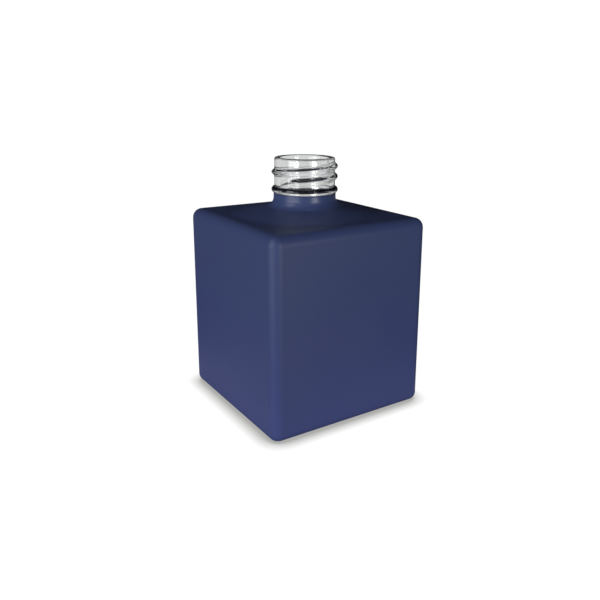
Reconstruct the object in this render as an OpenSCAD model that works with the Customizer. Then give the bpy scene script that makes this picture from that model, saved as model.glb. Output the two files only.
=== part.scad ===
// Square glass bottle with a short screw neck, and the matt lacquer sprayed on its outside.
// The origin is the middle of the base, on the surface that the bottle stands on. +Z is up.

/* [Body] */
// Width and depth of the glass body, across its flat sides
body_w = 73; // [70:0.5:76]
// Height of the body, from the bearing ring to the outer edge of the shoulder
body_h = 81; // [60:0.5:110]
// Outer radius of the four upright edges
edge_r = 4; // [3.5:0.1:8]
// Outer radius of the edges round the shoulder
shoulder_r = 4; // [2:0.1:4]
// Outer radius of the heel, where the sides turn into the base
heel_r = 3.3; // [2:0.1:3.5]
// Angle at which the shoulder climbs towards the neck
shoulder_slope = 13; // [4:1:13]
// Radius of the sweep from the shoulder's flat outer edge into that slope
sweep_r = 20; // [10:1:30]

/* [Glass thickness] */
// Thickness of the four sides
wall_t = 3.6; // [2.5:0.1:5]
// Thickness of the base, from the bearing ring to the inner floor
base_t = 7; // [5:0.1:12]
// Thickness of the shoulder at its outer edge
shoulder_t = 4.2; // [3.5:0.1:6]
// Inner radius of every edge of the blown cavity
cavity_r = 8; // [5:0.5:12]
// Inner radius where the bore opens into the cavity
throat_r = 3; // [1:0.1:3.2]

/* [Base] */
// Width of the flat ring that the bottle stands on
bearing_w = 5; // [3:0.5:10]
// Depth of the push-up inside that ring
push_up_h = 1.5; // [0.5:0.1:2.5]

/* [Neck] */
// Diameter of the plain neck under the bead
neck_d = 26; // [25.8:0.1:26.8]
// Height of the plain neck, from the shoulder to the middle of the bead
neck_h = 10.3; // [10.3:0.1:14]
// Radius of the fillet where the neck meets the shoulder
root_r = 4.2; // [2:0.1:4.2]
// Radius of the rounding on top of the plain neck, which ends in a groove under the bead
collar_r = 1.2; // [0.6:0.1:1.6]
// Outer diameter of the transfer bead
bead_d = 27.9; // [27:0.1:28.4]
// Height of the transfer bead
bead_h = 2.7; // [2.4:0.1:2.8]

/* [Screw finish] */
// Height of the finish, from the middle of the bead to the sealing land
finish_h = 13.3; // [12.6:0.1:16]
// Diameter of the finish between the threads
root_d = 25.4; // [25.3:0.05:25.7]
// Diameter over the thread
thread_d = 27.7; // [27.4:0.05:27.9]
// Rise of the thread in one turn, which is 6 threads to the inch
thread_pitch = 4.233; // [3.5:0.001:5]
// Turns of thread, with the run-in and the run-out
thread_turns = 1.5; // [1:0.05:1.6]
// Width of the thread where it leaves the wall
thread_w = 2.6; // [2:0.1:3]
// Height of the thread's middle above the middle of the bead, where it starts
thread_up = 3.9; // [3:0.1:4.5]
// Direction in which the thread starts, anticlockwise from +X seen from above
thread_from = 211; // [0:1:359]
// Degrees that the thread takes to reach its full height where it starts, and to run out where it ends
run_in = 15; // [10:1:60]
run_out = 40; // [15:1:90]
// Diameter of the bore
bore_d = 20.5; // [17:0.1:21]
// Outer and inner radius of the lip, on either side of the sealing land
lip_r = 0.8; // [0.3:0.1:1]

/* [Lacquer] */
// Thickness of the sprayed coat
coat_t = 0.1; // [0.05:0.01:0.3]
// Height of the coat's lower edge above the surface that the bottle stands on
coat_foot = 0.4; // [0.3:0.1:2]

/* [Hidden] */
$fn = 96;
// How far a cutter runs past the face that it opens
past = 1;
neck_r = neck_d / 2;
finish_r = root_d / 2;
bore_r = bore_d / 2;
bead_z = body_h + neck_h;
top_z = bead_z + finish_h;
cavity_w = body_w - 2 * wall_t;
cavity_h = body_h - base_t - shoulder_t;
ceiling_z = body_h - shoulder_t;
bead_round = bead_h / 2;
bead_centre_r = bead_d / 2 - bead_round;
// The groove is where the underside of the bead meets the wall, and the collar's rounding ends there
groove_z = bead_z - sqrt(pow(bead_round, 2) - pow(finish_r - bead_centre_r, 2));
collar_z = groove_z - sqrt(pow(collar_r, 2) - pow(finish_r - neck_r + collar_r, 2));
// The coat stops this far short of the groove
coat_gap = 0.05;
// Above the shoulder's edge: the sweep's and the root fillet's centres, each with the end of its arc
square_to_slope = [sin(shoulder_slope), cos(shoulder_slope)];
sweep_c = [body_w / 2 - 5, sweep_r];
sweep_end = sweep_c - sweep_r * square_to_slope;
root_end_r = neck_r + root_r * (1 - square_to_slope.x);
root_end = [root_end_r, sweep_end.y + (sweep_end.x - root_end_r) * tan(shoulder_slope)];
root_c = root_end + root_r * square_to_slope;
// The swept thread: degrees from ring to ring, points in each ring, and how deep its foot and ends sink in
ring_step = 7.5;
ring_points = 9;
thread_sink = 0.4;
thread_end_sink = 0.1;

// The corner of a square, less the circle that rounds it: a cutter for a convex edge, or a fillet
module corner(r) {
    if (r > 0)
        difference() {
            square(r);
            translate([r, r]) circle(r);
        }
}

// Half of an upright section: w out from the axis, h up, with its outer foot and top rounded
module half_section(w, h, top, foot) {
    difference() {
        square([w, h]);
        translate([w, 0]) mirror([1, 0]) corner(foot);
        translate([w, h]) rotate(180) corner(top);
    }
}

// A square block with rounded upright edges, standing on z = 0, with its top and foot rounded too
module rounded_block(w, h, edge, top, foot) {
    flat = w - 2 * edge;
    for (turn = [0, 90])
        rotate(turn) rotate([90, 0, 0]) linear_extrude(flat, center = true) {
            half_section(w / 2, h, top, foot);
            mirror([1, 0]) half_section(w / 2, h, top, foot);
        }
    for (turn = [0 : 90 : 270])
        rotate(turn) translate([flat / 2, flat / 2]) rotate_extrude(angle = 90)
            half_section(edge, h, top, foot);
}

// Half of the section of the shoulder's slope and the neck's foot, grown outwards by g
module shoulder_section(g) {
    difference() {
        polygon([
            [0, -past], [sweep_c.x, -past], [sweep_c.x, g], sweep_end + g * square_to_slope,
            root_end + g * square_to_slope, [neck_r + g, root_c.y], [0, root_c.y]
        ]);
        translate(sweep_c) circle(sweep_r - g);
        translate(root_c) circle(root_r - g);
    }
}

// The outside of the body and of the plain neck with its rounded collar, grown outwards by g
module outside(g = 0) {
    translate([0, 0, -g])
        rounded_block(body_w + 2 * g, body_h + 2 * g, edge_r + g, shoulder_r + g, heel_r + g);
    translate([0, 0, body_h / 2]) rotate_extrude()
        half_section(neck_r + g, collar_z + collar_r + g - body_h / 2, collar_r + g, 0);
    translate([0, 0, body_h]) rotate_extrude() shoulder_section(g);
}

// The finish from the neck up, solid: the wall with its rounded lip, and the bead
module finish() {
    translate([0, 0, body_h]) rotate_extrude() {
        half_section(finish_r, top_z - body_h, lip_r, lip_r);
        translate([bead_centre_r, neck_h]) circle(bead_round);
    }
}

// Share of the thread's full height, this many degrees along it: both ends taper into the wall
function thread_share(along) =
    sin(90 * min(1, along / run_in, (thread_turns * 360 - along) / run_out));

// One ring of the thread: half an ellipse standing out from the wall, sunk into it at its foot
function thread_ring(along) =
    let (
        share = thread_share(along),
        turn = thread_from + along,
        z = bead_z + thread_up + thread_pitch * along / 360,
        foot = finish_r - thread_sink,
        crest = finish_r - thread_end_sink + (thread_d / 2 - finish_r + thread_end_sink) * share
    )
    [for (i = [0 : ring_points - 1])
        let (
            a = 180 * i / (ring_points - 1),
            r = foot + (crest - foot) * sin(a)
        )
        [r * cos(turn), r * sin(turn), z - thread_w / 2 * cos(a)]];

module thread() {
    rings = ceil(thread_turns * 360 / ring_step);
    points = [for (k = [0 : rings]) each thread_ring(thread_turns * 360 * k / rings)];
    sides = [for (k = [0 : rings - 1], i = [0 : ring_points - 1])
        let (j = (i + 1) % ring_points, near = k * ring_points, far = near + ring_points)
        each [[near + i, far + i, near + j], [near + j, far + i, far + j]]];
    first_end = [for (i = [0 : ring_points - 1]) i];
    last_end = [for (i = [ring_points - 1 : -1 : 0]) rings * ring_points + i];
    polyhedron(points, concat(sides, [first_end, last_end]), convexity = 6);
}

// The hollow inside: the blown cavity, the bore, its throat, and the rounded inner lip
module hollow() {
    translate([0, 0, base_t])
        rounded_block(cavity_w, cavity_h, cavity_r, cavity_r, cavity_r);
    translate([0, 0, ceiling_z - past]) cylinder(r = bore_r, h = top_z - ceiling_z + 2 * past);
    translate([0, 0, ceiling_z]) rotate_extrude()
        translate([bore_r, 0]) corner(throat_r);
    translate([0, 0, top_z]) rotate_extrude()
        translate([bore_r, 0]) mirror([0, 1]) corner(lip_r);
}

// The recess under the base, which leaves the bearing ring
module push_up() {
    recess_w = body_w - 2 * (heel_r + bearing_w);
    translate([0, 0, -past])
        rounded_block(recess_w, push_up_h + past, edge_r + push_up_h, push_up_h, 0);
}

module glass_bottle() {
    color([0.90, 0.94, 0.93, 0.5])
        difference() {
            union() {
                outside();
                finish();
                thread();
            }
            hollow();
            push_up();
        }
}

module matt_coating() {
    color([0.16, 0.19, 0.36])
        difference() {
            intersection() {
                outside(coat_t);
                translate([-body_w, -body_w, coat_foot])
                    cube([2 * body_w, 2 * body_w, groove_z - coat_gap - coat_foot]);
            }
            outside();
        }
}

glass_bottle();
matt_coating();
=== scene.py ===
"""Models a square glass bottle with a short screw neck and a matt blue lacquer coat, and its studio."""

import math

import bmesh
import bpy
from mathutils import Matrix, Vector, noise


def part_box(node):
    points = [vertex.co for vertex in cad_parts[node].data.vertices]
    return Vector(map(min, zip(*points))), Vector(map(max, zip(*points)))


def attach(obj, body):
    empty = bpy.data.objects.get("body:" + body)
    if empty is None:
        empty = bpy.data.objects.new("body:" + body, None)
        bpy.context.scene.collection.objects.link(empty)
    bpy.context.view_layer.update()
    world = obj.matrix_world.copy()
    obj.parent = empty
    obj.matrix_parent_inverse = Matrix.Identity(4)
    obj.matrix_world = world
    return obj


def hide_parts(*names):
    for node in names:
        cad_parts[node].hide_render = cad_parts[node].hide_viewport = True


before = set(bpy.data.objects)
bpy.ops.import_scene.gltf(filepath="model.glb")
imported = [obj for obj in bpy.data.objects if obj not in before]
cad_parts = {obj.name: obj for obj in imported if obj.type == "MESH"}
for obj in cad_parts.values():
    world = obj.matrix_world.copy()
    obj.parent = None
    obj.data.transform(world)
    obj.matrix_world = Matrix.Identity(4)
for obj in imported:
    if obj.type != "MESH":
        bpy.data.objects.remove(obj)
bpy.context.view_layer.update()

bl_info = {
    "name": "Square screw-neck bottle",
    "version": (1, 0, 0),
    "blender": (4, 5, 0),
    "location": "View3D > Sidebar > Bottle",
    "description": "Models a square glass bottle with a sprayed coat and sets it in a plain studio",
    "category": "Add Mesh",
}

MM = 0.001
TURN = 2 * math.pi
# The one body that both pieces ride on
BODY = "root"
GLASS_LOW, GLASS_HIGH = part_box("glass_bottle")
COAT_LOW, COAT_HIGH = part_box("matt_coating")
# Columns of faces round the neck: a multiple of eight, so that one meets each corner of the body
NECK_COLUMNS = 192
# Faces across each rounded edge of the body, and a narrow border that keeps the flats shading flat
EDGE_STEPS = 8
FLAT_BORDER = 0.3 * MM
# Two points of a mesh that are closer than this are the same
SAME = 0.002 * MM
# The faint waves of moulded glass, and those of the bore, which air shapes: how deep and how long
MOULD_WAVE = (0.03 * MM, 5 * MM)
BORE_WAVE = (0.08 * MM, 7 * MM)
# How square the thread's section is: 2 is a bell, and a higher number has a flatter crest
THREAD_CREST = 2.6
# Brightness of the floor and the backdrop to the eye, just over 1 so that both come out pure white
EYE_WHITE = 1.02


def linear_from_hex(code):
    """An sRGB hex colour as the linear red, green and blue that Blender's shaders take."""
    parts = [int(code[i : i + 2], 16) / 255 for i in (1, 3, 5)]
    return tuple(c / 12.92 if c <= 0.04045 else ((c + 0.055) / 1.055) ** 2.4 for c in parts)


def length(label, text, default, **more):
    """A length property with a default in metres."""
    return bpy.props.FloatProperty(
        name=label, description=text, default=default, min=0, unit="LENGTH", precision=5, **more
    )


def amount(label, text, default, low=0.0, high=1.0):
    """A plain number property."""
    return bpy.props.FloatProperty(name=label, description=text, default=default, min=low, max=high)


def angle(label, text, degrees):
    """An angle property with a default in degrees."""
    return bpy.props.FloatProperty(
        name=label, description=text, default=math.radians(degrees), subtype="ANGLE"
    )


def colour(label, text, code):
    """A colour property with a default from an sRGB hex code."""
    return bpy.props.FloatVectorProperty(
        name=label,
        description=text,
        default=linear_from_hex(code),
        min=0,
        max=1,
        size=3,
        subtype="COLOR",
    )


class BottleSizes(bpy.types.PropertyGroup):
    """The bottle's own sizes."""

    body_width: length("Body width", "Across the flat sides", GLASS_HIGH.x - GLASS_LOW.x)
    overall_height: length("Overall height", "From the base to the sealing land", GLASS_HIGH.z)
    body_height: length("Body height", "From the base to the shoulder's outer edge", 81 * MM)
    edge_radius: length("Edge radius", "Of the upright edges and the shoulder's edges", 4 * MM)
    heel_radius: length("Heel radius", "Where the sides turn into the base", 3.3 * MM)
    wall: length("Wall", "Thickness of the glass sides", 3.6 * MM)
    floor: length("Floor", "Thickness of the glass base", 7 * MM)
    shoulder: length("Shoulder", "Thickness of the glass at the shoulder's edge", 4.2 * MM)
    cavity_radius: length("Cavity radius", "Of every edge inside", 8 * MM)
    recess_width: length("Recess width", "Of the push-up under the base", 56.4 * MM)
    recess_depth: length("Recess depth", "Of the push-up under the base", 1.5 * MM)
    recess_radius: length("Recess radius", "Of the push-up's corners", 5.5 * MM)
    neck_radius: length("Neck radius", "Of the plain neck under the bead", 13 * MM)
    root_radius: length("Root radius", "Of the fillet between the neck and the shoulder", 4.2 * MM)
    shoulder_slope: angle("Shoulder slope", "How steeply the shoulder climbs towards the neck", 13)
    sweep_radius: length("Sweep radius", "From the shoulder's flat edge into its slope", 20 * MM)
    sweep_start: length("Sweep start", "From the axis to where the shoulder starts to climb", 31.5 * MM)
    collar_radius: length("Collar radius", "Of the rounding on top of the plain neck", 1.2 * MM)
    coat_gap: length("Coat gap", "From the coat's upper edge to the groove under the bead", 0.05 * MM)
    bead_height: length("Bead height", "Of the bead's middle above the shoulder's edge", 10.3 * MM)
    bead_radius: length("Bead radius", "Across the bead, halved", 13.95 * MM)
    bead_round: length("Bead rounding", "Radius of the bead's own section", 1.35 * MM)
    finish_radius: length("Finish radius", "Of the wall between the threads", 12.7 * MM)
    thread_radius: length("Thread radius", "Over the thread's crest", 13.85 * MM)
    thread_pitch: length("Thread pitch", "Rise of the thread in one turn", 4.233 * MM)
    thread_half_width: length("Thread half width", "From the thread's middle to its flank", 1.1 * MM)
    thread_start: length("Thread start", "Height above the bead where the thread starts", 3.9 * MM)
    thread_turns: amount("Thread turns", "Length of the thread", 1.5, 0.5, 3)
    thread_sway: length("Thread sway", "How far the thread strays from a true helix", 0.25 * MM)
    thread_from: angle("Thread direction", "Anticlockwise from +X to the thread's start", 211)
    run_in: angle("Run-in", "Length of the tapered end where the thread starts", 15)
    run_out: angle("Run-out", "Length of the tapered end where the thread ends", 30)
    bore_radius: length("Bore radius", "Of the mouth's bore", 10.25 * MM)
    throat_radius: length("Throat radius", "Where the bore opens into the hollow", 3 * MM)
    lip_radius: length("Lip radius", "Of the two roundings of the lip", 0.8 * MM)
    coat: length("Coat", "Thickness of the lacquer", COAT_HIGH.x - GLASS_HIGH.x)
    coat_foot: length("Coat foot", "Height of the lacquer's lower edge", COAT_LOW.z)


class BottleFinish(bpy.types.PropertyGroup):
    """Colours and surface qualities of the glass and of the lacquer."""

    glass_tint: colour("Glass tint", "What the glass lets through", "#fafbfb")
    glass_roughness: amount("Glass roughness", "0 is a perfect polish", 0.015)
    lacquer: colour("Lacquer", "The coat's colour up at the shoulder", "#455486")
    # Painted light: a deeper, more saturated blue towards the base, for the white floor's bounce light
    # on the lower sides
    lacquer_floor_bounce: colour("Deep lacquer", "The coat's colour over the thick base", "#414d8c")
    # Painted light: a lighter tone up the plain neck, for the light that the neck and its collar catch
    lacquer_neck_light: colour("Thin lacquer", "Under the bead, where the coat thins out", "#4b5a8b")
    lacquer_roughness: amount("Lacquer roughness", "0 is gloss, 1 is chalk", 0.5)
    collar_roughness: amount("Collar roughness", "Where the coat thins out under the bead", 0.28)


class BottleStage(bpy.types.PropertyGroup):
    """The camera, the lights and the floor."""

    azimuth: angle("Azimuth", "0 looks along +Y, and a positive angle moves the camera to +X", -34.24)
    elevation: angle("Elevation", "How far the camera looks down", 14.17)
    roll: angle("Roll", "Tilt of the camera about its own axis", 0.6)
    distance: length("Distance", "From the camera to the middle of the body, along its axis", 0.2847)
    side_step: length("Side step", "How far the camera stands to its right", 0.0088)
    rise: length("Rise", "How far the camera stands above its aim", 0.0203)
    lens: bpy.props.FloatProperty(name="Lens", description="Focal length in mm", default=38.76)
    shift_x: amount("Shift X", "Framing shift to the right", -0.0405, -1, 1)
    shift_y: amount("Shift Y", "Framing shift upwards", -0.0711, -1, 1)
    lamp_left: amount("Left lamp", "Power of the wide softbox at the left, in watts", 0.86, 0, 500)
    lamp_upper: amount("Upper lamp", "Power of the softbox high up at the left, in watts", 0.4, 0, 500)
    lamp_right: amount("Right lamp", "Power of the softbox at the right, in watts", 0.66, 0, 500)
    lamp_back: amount("Back lamp", "Power of the weak lamp behind, in watts", 0.3, 0, 500)
    backdrop: amount("Backdrop", "Brightness of the backdrop as the glass shows it", 0.72, 0, 10)
    wings: amount("Wings", "Brightness at the sides of the backdrop as the glass shows it", 0.12, 0, 10)
    glow: amount("Glow", "Light that the bottle gets from the floor under it", 0.32, 0, 10)
    haze: amount("Haze", "Light that the bottle gets from the floor further off", 0.09, 0, 10)
    fill: amount("Fill", "Light that the bottle gets from the room", 0.02, 0, 10)
    floor_white: colour("Floor", "Colour of the floor in the light", "#ffffff")
    # Painted shadow: the floor darkens to this colour right under the bottle
    floor_painted_shadow: colour("Floor shade", "Colour of the floor right under the bottle", "#acacaa")


# ---------------------------------------------------------------- mesh building


def arc(centre, radius, start, end, steps):
    """Points of an arc in the upright plane, as (out, up), from one angle in degrees to another."""
    return [
        (
            centre[0] + radius * math.cos(math.radians(start + (end - start) * i / steps)),
            centre[1] + radius * math.sin(math.radians(start + (end - start) * i / steps)),
        )
        for i in range(steps + 1)
    ]


def climb(radius, low, high, step):
    """Points straight up a wall, a step apart, without its two ends."""
    rows = max(1, round(abs(high - low) / step))
    return [(radius, low + (high - low) * i / rows) for i in range(1, rows)]


def spun(profile):
    """A bmesh with the profile, a list of (out, up), turned once round the Z axis."""
    bm = bmesh.new()
    verts = [bm.verts.new((out, 0, up)) for out, up in profile]
    edges = [bm.edges.new(pair) for pair in zip(verts, verts[1:])]
    bmesh.ops.spin(
        bm,
        geom=verts + edges,
        cent=(0, 0, 0),
        axis=(0, 0, 1),
        dvec=(0, 0, 0),
        angle=TURN,
        steps=NECK_COLUMNS,
        use_merge=True,
    )
    bmesh.ops.remove_doubles(bm, verts=bm.verts[:], dist=SAME)
    return bm


def at_height(bm, z):
    """The edges that lie level at height z."""
    return [e for e in bm.edges if all(abs(v.co.z - z) < SAME for v in e.verts)]


def bevelled(bm, edges, radius, steps):
    """Rounds the edges to a radius."""
    bmesh.ops.bevel(
        bm,
        geom=edges,
        offset=radius,
        offset_type="OFFSET",
        segments=steps,
        profile=0.5,
        affect="EDGES",
        material=-1,
        clamp_overlap=False,
    )
    bmesh.ops.remove_doubles(bm, verts=bm.verts[:], dist=SAME)


def block(width, low, high):
    """A bmesh with a plain square block."""
    bm = bmesh.new()
    bmesh.ops.create_cube(bm, size=1)
    bmesh.ops.scale(bm, vec=(width, width, high - low), verts=bm.verts[:])
    bmesh.ops.translate(bm, vec=(0, 0, (low + high) / 2), verts=bm.verts[:])
    return bm


def flats(bm, least):
    """The faces larger than this area."""
    return [f for f in bm.faces if f.calc_area() > least]


def bordered(bm, least):
    """Gives each large flat face a narrow border, so that it shades flat right up to its edges."""
    bmesh.ops.inset_individual(
        bm, faces=flats(bm, least), thickness=FLAT_BORDER, use_even_offset=True
    )


def cut_open(bm, z):
    """Opens the flat face at height z, and gives its rim as many points as the neck has columns."""
    level = [f for f in bm.faces if abs(f.calc_center_median().z - z) < SAME]
    lid = max(level, key=lambda f: f.calc_area())
    rim = list(lid.edges)
    bmesh.ops.delete(bm, geom=[lid], context="FACES_ONLY")
    bmesh.ops.subdivide_edges(bm, edges=rim, cuts=NECK_COLUMNS // len(rim) - 1)


def open_rim(bm, z):
    """The open edges at height z."""
    return [e for e in at_height(bm, z) if e.is_boundary]


def in_turn(verts):
    """Points in order round the Z axis, from just before +X."""
    return sorted(verts, key=lambda v: (math.atan2(v.co.y, v.co.x) + 0.01) % TURN)


def widened(inner, outer, z):
    """Closes the flat ring at height z, from the inner mesh's open rim to the outer mesh's."""
    targets = in_turn({v for e in open_rim(outer, z) for v in e.verts})
    made = bmesh.ops.extrude_edge_only(inner, edges=open_rim(inner, z))["geom"]
    verts = in_turn(v for v in made if isinstance(v, bmesh.types.BMVert))
    for vert, target in zip(verts, targets, strict=True):
        vert.co = target.co


def merged(parts):
    """One bmesh of several, with the points that they share made one."""
    bm = bmesh.new()
    for part in parts:
        mesh = bpy.data.meshes.new("part")
        part.to_mesh(mesh)
        part.free()
        bm.from_mesh(mesh)
        bpy.data.meshes.remove(mesh)
    bmesh.ops.remove_doubles(bm, verts=bm.verts[:], dist=SAME)
    return bm


def finished(bm, name, material):
    """Turns the bmesh into an object with smooth faces that point outwards."""
    bmesh.ops.recalc_face_normals(bm, faces=bm.faces[:])
    for face in bm.faces:
        face.smooth = True
    mesh = bpy.data.meshes.new(name)
    bm.to_mesh(mesh)
    bm.free()
    mesh.materials.append(material)
    piece = bpy.data.objects.new(name, mesh)
    bpy.context.scene.collection.objects.link(piece)
    even = piece.modifiers.new("Even flats", "WEIGHTED_NORMAL")
    even.weight = 100
    return piece


# ---------------------------------------------------------------- the bottle's shape


def body_skin(sizes, grow):
    """The outside of the body, grown by a coat's thickness, open at the shoulder for the neck."""
    width = sizes.body_width + 2 * grow
    top = sizes.body_height + grow
    bm = block(width, -grow, top)
    foot = at_height(bm, -grow)
    bevelled(bm, [e for e in bm.edges if e not in foot], sizes.edge_radius + grow, EDGE_STEPS)
    bevelled(bm, at_height(bm, -grow), sizes.heel_radius + grow, EDGE_STEPS)
    bordered(bm, (width / 2) ** 2)
    cut_open(bm, top)
    return bm


def neck_root(sizes, grow):
    """Profile from the shoulder's flat edge up its slope and the root fillet, short of the collar."""
    slope = sizes.shoulder_slope
    square = Vector((math.sin(slope), math.cos(slope)))
    sweep = Vector((sizes.sweep_start, sizes.body_height + sizes.sweep_radius))
    sweep_end = sweep - sizes.sweep_radius * square
    out = sizes.neck_radius + sizes.root_radius * (1 - square.x)
    climbed = (sweep_end.x - out) * math.tan(slope)
    root = Vector((out, sweep_end.y + climbed)) + sizes.root_radius * square
    end = 270 - math.degrees(slope)
    rim = (sweep.x + FLAT_BORDER, sizes.body_height + grow)
    lower = arc(sweep, sizes.sweep_radius - grow, 270, end, 6)
    return [rim] + lower + arc(root, sizes.root_radius - grow, end, 180, 14)


def neck_collar(sizes, grow):
    """Profile of the rounding on top of the plain neck, up to the groove or to the coat's edge."""
    out = sizes.neck_radius - sizes.collar_radius
    rise = math.sqrt(sizes.collar_radius**2 - (sizes.finish_radius - out) ** 2)
    centre = (out, sizes.body_height + sizes.bead_height - bead_reach(sizes) - rise)
    end = rise - sizes.coat_gap if grow else rise
    radius = sizes.collar_radius + grow
    return arc(centre, radius, 0, math.degrees(math.asin(end / radius)), 8)


def bead_reach(sizes):
    """How far the bead's section reaches up and down from its middle, where it meets the wall."""
    middle = sizes.bead_radius - sizes.bead_round
    return math.sqrt(sizes.bead_round**2 - (sizes.finish_radius - middle) ** 2)


def finish_profile(sizes):
    """Profile from the groove over the bead, the threaded wall and the lip to the throat."""
    top = sizes.overall_height
    middle = sizes.bead_radius - sizes.bead_round
    bead = (middle, sizes.body_height + sizes.bead_height)
    reach = math.degrees(math.asin(bead_reach(sizes) / sizes.bead_round))
    lip = sizes.lip_radius
    wall = sizes.finish_radius
    bore = sizes.bore_radius
    ceiling = sizes.body_height - sizes.shoulder
    throat = sizes.throat_radius
    points = arc(bead, sizes.bead_round, -reach, reach, 20)
    points += climb(wall, points[-1][1], top - lip, 0.15 * MM)
    points += arc((wall - lip, top - lip), lip, 0, 90, 8)
    points += arc((bore + lip, top - lip), lip, 90, 180, 8)
    points += climb(bore, top - lip, ceiling + throat, 1 * MM)
    points += arc((bore + throat, ceiling + throat), throat, 180, 270, 8)
    return points + [(bore + throat + FLAT_BORDER, ceiling)]


def thread_height(sizes, turn, z):
    """How far the thread stands out of the wall in one direction, at one height."""
    whole = sizes.thread_turns * TURN
    start = sizes.body_height + sizes.bead_height + sizes.thread_start
    start += sizes.thread_sway * math.cos(turn - sizes.thread_from - TURN / 3)
    depth = sizes.thread_radius - sizes.finish_radius
    tallest = 0.0
    along = (turn - sizes.thread_from) % TURN
    while along <= whole:
        rest = min(along / sizes.run_in, (whole - along) / sizes.run_out, 1)
        off = (z - start - sizes.thread_pitch * along / TURN) / sizes.thread_half_width
        section = math.exp(-abs(off) ** THREAD_CREST)
        tallest = max(tallest, depth * math.sin(rest * TURN / 4) * section)
        along += TURN
    return tallest


def wave(place, depth, length_of_wave):
    """How far a faint wave in the glass pushes this place out from the axis, or in."""
    return depth * noise.noise(place / length_of_wave)


def mould_finish(bm, sizes):
    """Raises the thread on the wall, and gives the glass the faint unevenness of a mould."""
    bead_top = sizes.body_height + sizes.bead_height + bead_reach(sizes)
    wall_top = sizes.overall_height - sizes.lip_radius
    for vert in bm.verts:
        out = vert.co.xy.length
        turn = math.atan2(vert.co.y, vert.co.x)
        push = wave(vert.co, *MOULD_WAVE)
        on_wall = abs(out - sizes.finish_radius) < SAME
        if on_wall and bead_top - SAME < vert.co.z < wall_top + SAME:
            push += thread_height(sizes, turn, vert.co.z)
        elif out < sizes.finish_radius and vert.co.z < wall_top:
            push += wave(vert.co, *BORE_WAVE)
        vert.co.xy *= 1 + push / out


def hollow_skin(sizes):
    """The inside of the body, open at the ceiling for the bore."""
    width = sizes.body_width - 2 * sizes.wall
    ceiling = sizes.body_height - sizes.shoulder
    bm = block(width, sizes.floor, ceiling)
    bevelled(bm, bm.edges[:], sizes.cavity_radius, EDGE_STEPS + 2)
    bordered(bm, (width / 2) ** 2)
    cut_open(bm, ceiling)
    return bm


def push_up(sizes):
    """The shallow recess under the base, open below."""
    bm = block(sizes.recess_width, 0, sizes.recess_depth)
    bottom = [f for f in bm.faces if f.normal.z < -0.5]
    bmesh.ops.delete(bm, geom=bottom, context="FACES_ONLY")
    upright = [e for e in bm.edges if abs(e.verts[0].co.z - e.verts[1].co.z) > SAME]
    bevelled(bm, upright, sizes.recess_radius, EDGE_STEPS)
    bevelled(bm, at_height(bm, sizes.recess_depth), sizes.recess_depth - 2 * SAME, 6)
    return bm


def glass_mesh(sizes):
    """The whole bottle as one closed wall of glass."""
    neck = spun(neck_root(sizes, 0) + neck_collar(sizes, 0) + finish_profile(sizes)[1:])
    mould_finish(neck, sizes)
    skin = body_skin(sizes, 0)
    underside = [f for f in flats(skin, sizes.recess_width**2) if abs(f.calc_center_median().z) < SAME]
    bmesh.ops.delete(skin, geom=underside, context="FACES_ONLY")
    hollow = hollow_skin(sizes)
    recess = push_up(sizes)
    widened(neck, skin, sizes.body_height)
    widened(neck, hollow, sizes.body_height - sizes.shoulder)
    widened(recess, skin, 0)
    return merged([skin, neck, hollow, recess])


def coat_mesh(sizes):
    """The lacquer as a thin closed shell over the body and the plain neck."""
    neck = spun(neck_root(sizes, sizes.coat) + neck_collar(sizes, sizes.coat))
    skin = body_skin(sizes, sizes.coat)
    widened(neck, skin, sizes.body_height + sizes.coat)
    bm = merged([skin, neck])
    bmesh.ops.bisect_plane(
        bm,
        geom=bm.verts[:] + bm.edges[:] + bm.faces[:],
        dist=SAME / 10,
        plane_co=(0, 0, sizes.coat_foot),
        plane_no=(0, 0, 1),
        clear_inner=True,
    )
    bmesh.ops.remove_doubles(bm, verts=bm.verts[:], dist=SAME)
    bmesh.ops.recalc_face_normals(bm, faces=bm.faces[:])
    # The inner side lies a hair inside the glass, so that no air gap shows between the two
    bmesh.ops.solidify(bm, geom=bm.faces[:], thickness=sizes.coat + 0.02 * MM)
    return bm


# ---------------------------------------------------------------- materials


def new_material(name):
    """An empty node material with its tree and output."""
    material = bpy.data.materials.new(name)
    material.use_nodes = True
    tree = material.node_tree
    tree.nodes.clear()
    return material, tree, tree.nodes.new("ShaderNodeOutputMaterial")


def add(tree, kind, settings=None, inputs=None, **links):
    """Adds a node, with its settings, its socket values, and links into it by socket name."""
    node = tree.nodes.new(kind)
    for key, value in (settings or {}).items():
        setattr(node, key, value)
    for key, value in (inputs or {}).items():
        node.inputs[key].default_value = value
    for key, socket in links.items():
        tree.links.new(socket, node.inputs[int(key[1:]) if key[0] == "_" else key.replace("_", " ")])
    return node


def blend(tree, share, first, second):
    """A number between two others, each of them a value or a socket."""
    node = add(tree, "ShaderNodeMix", _0=share)
    for index, item in ((2, first), (3, second)):
        if isinstance(item, bpy.types.NodeSocket):
            tree.links.new(item, node.inputs[index])
        else:
            node.inputs[index].default_value = item
    return node.outputs[0]


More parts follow.
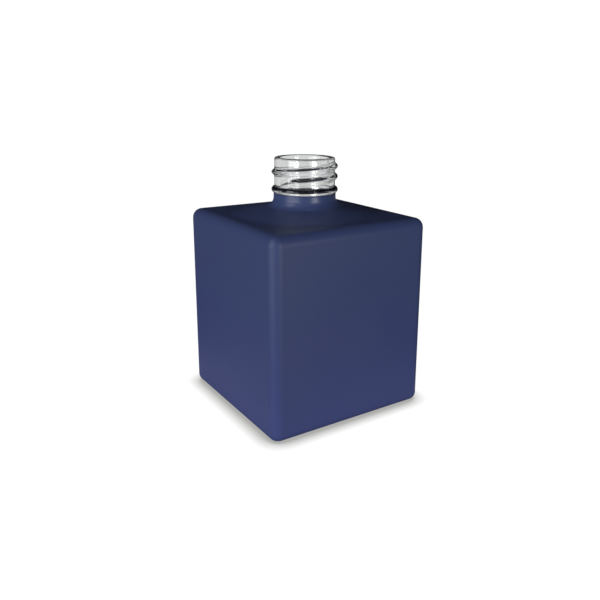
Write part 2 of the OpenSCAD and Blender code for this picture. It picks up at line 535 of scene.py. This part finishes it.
def soda_lime_glass(finish):
    """Clear soda-lime glass, blown in a mould and fire polished: bright, with soft waves."""
    material, tree, output = new_material("Soda-lime glass, fire polished")
    place = add(tree, "ShaderNodeTexCoord").outputs["Object"]
    # The skin of moulded glass has shallow waves a few millimetres long
    waves = add(
        tree,
        "ShaderNodeTexNoise",
        inputs={"Scale": 1 / (3 * MM), "Detail": 1.0, "Roughness": 0.4},
        Vector=place,
    )
    bump = add(
        tree,
        "ShaderNodeBump",
        inputs={"Strength": 0.25, "Distance": 0.05 * MM},
        Height=waves.outputs["Fac"],
    )
    glass = add(
        tree,
        "ShaderNodeBsdfPrincipled",
        inputs={
            "Base Color": (*finish.glass_tint, 1),
            "Roughness": finish.glass_roughness,
            "IOR": 1.52,
            "Transmission Weight": 1.0,
        },
        Normal=bump.outputs["Normal"],
    )
    tree.links.new(glass.outputs["BSDF"], output.inputs["Surface"])
    return material


def sprayed_lacquer(finish, sizes):
    """Sprayed and baked matt lacquer with a soft sheen and a fine orange peel, and painted light in its
    colour: a deeper blue towards the base for the floor's bounce light, and a lighter tone up the neck
    for the light that the neck catches.
    """
    material, tree, output = new_material("Matt lacquer, sprayed and baked")
    place = add(tree, "ShaderNodeTexCoord").outputs["Object"]
    up = add(tree, "ShaderNodeSeparateXYZ", Vector=place)
    # Passes of the spray gun leave faint clouds some 20 mm across
    clouds = add(
        tree,
        "ShaderNodeTexNoise",
        inputs={"Scale": 1 / (22 * MM), "Detail": 3.0, "Roughness": 0.55},
        Vector=place,
    )
    # Painted light: the colour turns a deeper, more saturated blue towards the base, standing in for
    # the bounce light that the white floor throws on the lower sides
    drift = add(
        tree,
        "ShaderNodeMapRange",
        inputs={"From Min": 0.35, "From Max": 0.65, "To Min": -8 * MM, "To Max": 8 * MM},
        Value=clouds.outputs["Fac"],
    )
    height = add(
        tree,
        "ShaderNodeMath",
        _0=up.outputs["Z"],
        _1=drift.outputs["Result"],
    )
    # How far down the body the painted floor light reaches
    depth = add(
        tree,
        "ShaderNodeMapRange",
        settings={"interpolation_type": "SMOOTHSTEP"},
        inputs={"From Min": sizes.body_height, "From Max": 0.0},
        Value=height.outputs["Value"],
    )
    floor_bounce_tone = add(
        tree,
        "ShaderNodeMix",
        settings={"data_type": "RGBA"},
        inputs={6: (*finish.lacquer, 1), 7: (*finish.lacquer_floor_bounce, 1)},
        _0=depth.outputs["Result"],
    )
    # The coat thins out up the neck, towards the mask that kept the finish clear. The lighter tone that
    # rises with it is painted light, for the light that the plain neck and its collar catch
    groove = sizes.body_height + sizes.bead_height - sizes.bead_round
    thin_coat_and_light = add(
        tree,
        "ShaderNodeMapRange",
        settings={"interpolation_type": "SMOOTHSTEP"},
        inputs={"From Min": sizes.body_height + 1 * MM, "From Max": groove},
        Value=up.outputs["Z"],
    )
    # The coat's colour with the painted floor light low down and the painted neck light up the neck
    tone = add(
        tree,
        "ShaderNodeMix",
        settings={"data_type": "RGBA"},
        inputs={7: (*finish.lacquer_neck_light, 1)},
        _0=thin_coat_and_light.outputs["Result"],
        _6=floor_bounce_tone.outputs[2],
    )
    # Orange peel, about 0.8 mm from crest to crest, with the flatting agent's fine grain on it
    peel = add(
        tree,
        "ShaderNodeTexNoise",
        inputs={"Scale": 1 / (0.8 * MM), "Detail": 2.0, "Roughness": 0.5},
        Vector=place,
    )
    grain = add(
        tree,
        "ShaderNodeTexNoise",
        inputs={"Scale": 1 / (0.15 * MM), "Detail": 1.0, "Roughness": 0.5},
        Vector=place,
    )
    coarse = add(
        tree,
        "ShaderNodeBump",
        inputs={"Strength": 0.25, "Distance": 0.01 * MM},
        Height=peel.outputs["Fac"],
    )
    fine = add(
        tree,
        "ShaderNodeBump",
        inputs={"Strength": 0.3, "Distance": 0.004 * MM},
        Height=grain.outputs["Fac"],
        Normal=coarse.outputs["Normal"],
    )
    uneven = add(
        tree,
        "ShaderNodeMapRange",
        inputs={
            "To Min": finish.lacquer_roughness - 0.05,
            "To Max": finish.lacquer_roughness + 0.05,
        },
        Value=clouds.outputs["Fac"],
    )
    # A thinner coat is glossier: it carries less of the flatting agent
    rough = blend(
        tree, thin_coat_and_light.outputs["Result"], uneven.outputs["Result"], finish.collar_roughness
    )
    lacquer = add(
        tree,
        "ShaderNodeBsdfPrincipled",
        inputs={"IOR": 1.5},
        Base_Color=tone.outputs[2],
        Roughness=rough,
        Normal=fine.outputs["Normal"],
    )
    tree.links.new(lacquer.outputs["BSDF"], output.inputs["Surface"])
    return material


# ---------------------------------------------------------------- operators


class BOTTLE_OT_blow_glass(bpy.types.Operator):
    """Model the glass bottle, with its hollow, neck finish and push-up base"""

    bl_idname = "bottle.blow_glass"
    bl_label = "Blow the glass bottle"

    def execute(self, context):
        scene = context.scene
        material = soda_lime_glass(scene.bottle_finish)
        piece = finished(glass_mesh(scene.bottle_sizes), "blown_glass_bottle", material)
        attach(piece, BODY)
        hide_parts("glass_bottle")
        return {"FINISHED"}


class BOTTLE_OT_spray_coat(bpy.types.Operator):
    """Model the lacquer on the outside of the body and the plain neck"""

    bl_idname = "bottle.spray_coat"
    bl_label = "Spray the coat"

    def execute(self, context):
        scene = context.scene
        material = sprayed_lacquer(scene.bottle_finish, scene.bottle_sizes)
        piece = finished(coat_mesh(scene.bottle_sizes), "sprayed_matt_coat", material)
        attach(piece, BODY)
        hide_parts("matt_coating")
        return {"FINISHED"}


class BOTTLE_OT_set_stage(bpy.types.Operator):
    """Set the floor, the room, the lamps and the camera"""

    bl_idname = "bottle.set_stage"
    bl_label = "Set the stage"

    def execute(self, context):
        stage = context.scene.bottle_stage
        lay_floor(stage)
        light_room(context.scene, stage)
        middle = Vector((0, 0, context.scene.bottle_sizes.body_height / 2))
        place_lamp("Left softbox", middle, -75, 6, (0.42, 0.16), stage.lamp_left)
        place_lamp("Upper softbox", middle, -89, 40, (0.16, 0.16), stage.lamp_upper)
        place_lamp("Right softbox", middle, 5, 6, (0.16, 0.16), stage.lamp_right)
        back = place_lamp("Back lamp", middle, 135, 6, (0.3, 0.1), stage.lamp_back)
        # It only keeps the far sides from going black, and shows in no gloss or glass
        back.visible_glossy = False
        back.visible_transmission = False
        place_camera(context.scene, stage, middle)
        return {"FINISHED"}


def by_ray(tree, lighting, through):
    """Strength of a stage surface: white for the eye, through for the glass, else lighting."""
    ray = add(tree, "ShaderNodeLightPath")
    unseen = blend(tree, ray.outputs["Is Transmission Ray"], lighting, through)
    return blend(tree, ray.outputs["Is Camera Ray"], unseen, EYE_WHITE)


def lay_floor(stage):
    """A white floor with a soft shadow painted under the bottle, which lights the bottle from below."""
    bm = bmesh.new()
    bmesh.ops.create_grid(bm, x_segments=1, y_segments=1, size=3)
    mesh = bpy.data.meshes.new("floor")
    bm.to_mesh(mesh)
    bm.free()
    floor = bpy.data.objects.new("floor", mesh)
    bpy.context.scene.collection.objects.link(floor)
    material, tree, output = new_material("White acrylic table, lit from below")
    # The shadow under the bottle is painted: ambient occlusion darkens the glowing floor towards the
    # painted shadow's colour, and no lamp casts it
    near = add(
        tree,
        "ShaderNodeAmbientOcclusion",
        settings={"samples": 24},
        inputs={"Distance": 7 * MM},
    )
    shade = add(
        tree,
        "ShaderNodeMapRange",
        inputs={"From Min": 0.45, "From Max": 0.97},
        Value=near.outputs["AO"],
    )
    tone = add(
        tree,
        "ShaderNodeMix",
        settings={"data_type": "RGBA"},
        inputs={6: (*stage.floor_painted_shadow, 1), 7: (*stage.floor_white, 1)},
        _0=shade.outputs["Result"],
    )
    place = add(tree, "ShaderNodeTexCoord").outputs["Object"]
    away = add(tree, "ShaderNodeVectorMath", settings={"operation": "LENGTH"}, _0=place)
    glow = add(
        tree,
        "ShaderNodeMapRange",
        settings={"interpolation_type": "SMOOTHSTEP"},
        inputs={"From Min": 70 * MM, "From Max": 110 * MM, "To Min": stage.glow, "To Max": stage.haze},
        Value=away.outputs["Value"],
    )
    strength = by_ray(tree, glow.outputs["Result"], stage.backdrop)
    light = add(tree, "ShaderNodeEmission", Color=tone.outputs[2], Strength=strength)
    # Nothing shows of it from below, so that the bottle's base can be looked at
    either = add(
        tree,
        "ShaderNodeMixShader",
        _0=add(tree, "ShaderNodeNewGeometry").outputs["Backfacing"],
        _1=light.outputs["Emission"],
        _2=add(tree, "ShaderNodeBsdfTransparent").outputs["BSDF"],
    )
    tree.links.new(either.outputs["Shader"], output.inputs["Surface"])
    mesh.materials.append(material)


def light_room(scene, stage):
    """A dim room, with a white backdrop that the glass shows greyer, and darker to the sides."""
    world = bpy.data.worlds.new("Studio")
    scene.world = world
    world.use_nodes = True
    tree = world.node_tree
    tree.nodes.clear()
    output = tree.nodes.new("ShaderNodeOutputWorld")
    ahead = add(
        tree,
        "ShaderNodeVectorMath",
        settings={"operation": "DOT_PRODUCT"},
        inputs={1: (-math.sin(stage.azimuth), math.cos(stage.azimuth), 0)},
        _0=add(tree, "ShaderNodeTexCoord").outputs["Generated"],
    )
    behind = add(
        tree,
        "ShaderNodeMapRange",
        settings={"interpolation_type": "SMOOTHSTEP"},
        inputs={"From Min": 0.4, "From Max": 0.95, "To Min": stage.wings, "To Max": stage.backdrop},
        Value=ahead.outputs["Value"],
    )
    strength = by_ray(tree, stage.fill, behind.outputs["Result"])
    room = add(tree, "ShaderNodeBackground", inputs={"Color": (1, 1, 1, 1)}, Strength=strength)
    tree.links.new(room.outputs["Background"], output.inputs["Surface"])
    scene.view_settings.view_transform = "Standard"


def facing(azimuth, elevation, roll=0.0):
    """The rotation of a camera or lamp: azimuth 0 looks along +Y, and elevation looks down."""
    return (
        Matrix.Rotation(azimuth, 3, "Z")
        @ Matrix.Rotation(math.pi / 2 - elevation, 3, "X")
        @ Matrix.Rotation(roll, 3, "Z")
    )


def place_lamp(name, aim, azimuth, elevation, size, power):
    """A softbox half a metre away that faces the bottle from one direction, given in degrees."""
    data = bpy.data.lights.new(name, "AREA")
    data.shape = "RECTANGLE"
    data.size, data.size_y = size
    data.energy = power
    lamp = bpy.data.objects.new(name, data)
    bpy.context.scene.collection.objects.link(lamp)
    turned = facing(math.radians(azimuth), math.radians(elevation))
    lamp.matrix_world = Matrix.Translation(aim + turned.col[2] * 0.5) @ turned.to_4x4()
    return lamp


def place_camera(scene, stage, middle):
    """Puts the camera where its settings say, with no depth of field."""
    data = bpy.data.cameras.new("Camera")
    data.lens = stage.lens
    data.shift_x = stage.shift_x
    data.shift_y = stage.shift_y
    camera = bpy.data.objects.new("Camera", data)
    scene.collection.objects.link(camera)
    turned = facing(stage.azimuth, stage.elevation, stage.roll)
    place = middle + turned @ Vector((stage.side_step, stage.rise, stage.distance))
    camera.matrix_world = Matrix.Translation(place) @ turned.to_4x4()
    scene.camera = camera


class BOTTLE_PT_panel(bpy.types.Panel):
    """Lists the bottle's settings and the steps that build it"""

    bl_label = "Square bottle"
    bl_idname = "BOTTLE_PT_panel"
    bl_space_type = "VIEW_3D"
    bl_region_type = "UI"
    bl_category = "Bottle"

    def draw(self, context):
        layout = self.layout
        for step in OPERATORS:
            layout.operator(step.bl_idname)
        for group in ("bottle_sizes", "bottle_finish", "bottle_stage"):
            settings = getattr(context.scene, group)
            box = layout.box()
            for key in settings.__annotations__:
                box.prop(settings, key)


OPERATORS = (BOTTLE_OT_set_stage, BOTTLE_OT_blow_glass, BOTTLE_OT_spray_coat)
GROUPS = {"bottle_sizes": BottleSizes, "bottle_finish": BottleFinish, "bottle_stage": BottleStage}


def register():
    """Registers the classes, and gives the scene its settings."""
    for item in (*GROUPS.values(), *OPERATORS, BOTTLE_PT_panel):
        bpy.utils.register_class(item)
    for name, group in GROUPS.items():
        setattr(bpy.types.Scene, name, bpy.props.PointerProperty(type=group))


def unregister():
    """Takes the settings and the classes away again."""
    for name in GROUPS:
        delattr(bpy.types.Scene, name)
    for item in reversed((*GROUPS.values(), *OPERATORS, BOTTLE_PT_panel)):
        bpy.utils.unregister_class(item)


def main():
    """Builds everything in order."""
    register()
    bpy.ops.bottle.set_stage()
    bpy.ops.bottle.blow_glass()
    bpy.ops.bottle.spray_coat()
    bpy.context.view_layer.update()


if __name__ == "__main__":
    main()
